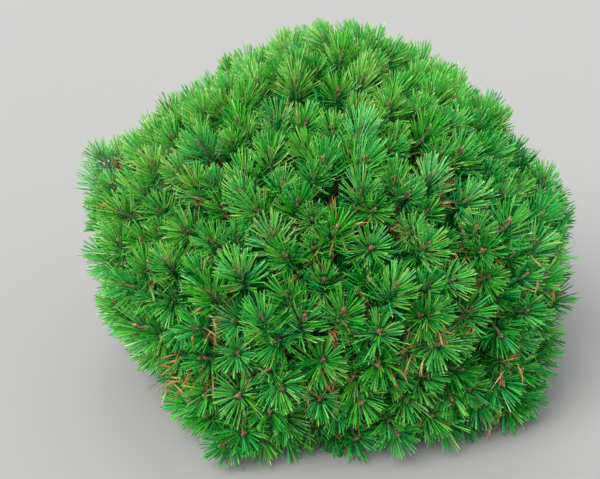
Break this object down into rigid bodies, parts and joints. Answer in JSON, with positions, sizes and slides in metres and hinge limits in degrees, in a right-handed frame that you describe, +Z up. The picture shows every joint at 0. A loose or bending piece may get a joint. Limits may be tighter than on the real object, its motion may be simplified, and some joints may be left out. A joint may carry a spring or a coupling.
{
  "type": "dwarf bosnian pine",
  "caption": "Dwarf bosnian pine: a dense, rounded bun of needle sprays on boughs from a short trunk, rooted in level ground.",
  "frame": {"origin": "centre of the flat cut under the trunk, at ground level", "axes": "+Z up from the ground, -Y towards the front of the plant, +X to the right as seen from the front"},
  "size_m": [0.9368, 0.8662, 0.6729],
  "materials": {
    "bark": "rough scaly bark",
    "needles": "satin evergreen needles"
  },
  "bodies": {
    "root": {"trunk": "bark", "upper_bough_1": "bark", "upper_bough_2": "bark", "upper_bough_3": "bark", "upper_bough_4": "bark", "upper_bough_5": "bark", "upper_bough_6": "bark", "lower_bough_1": "bark", "lower_bough_2": "bark", "lower_bough_3": "bark", "lower_bough_4": "bark", "lower_bough_5": "bark", "lower_bough_6": "bark", "lower_bough_7": "bark", "lower_bough_8": "bark", "lower_bough_9": "bark", "top_foliage": "needles", "upper_foliage_1": "needles", "upper_foliage_2": "needles", "upper_foliage_3": "needles", "upper_foliage_4": "needles", "upper_foliage_5": "needles", "upper_foliage_6": "needles", "lower_foliage_1": "needles", "lower_foliage_2": "needles", "lower_foliage_3": "needles", "lower_foliage_4": "needles", "lower_foliage_5": "needles", "lower_foliage_6": "needles", "lower_foliage_7": "needles", "lower_foliage_8": "needles", "lower_foliage_9": "needles"}
  },
  "joints": []
}
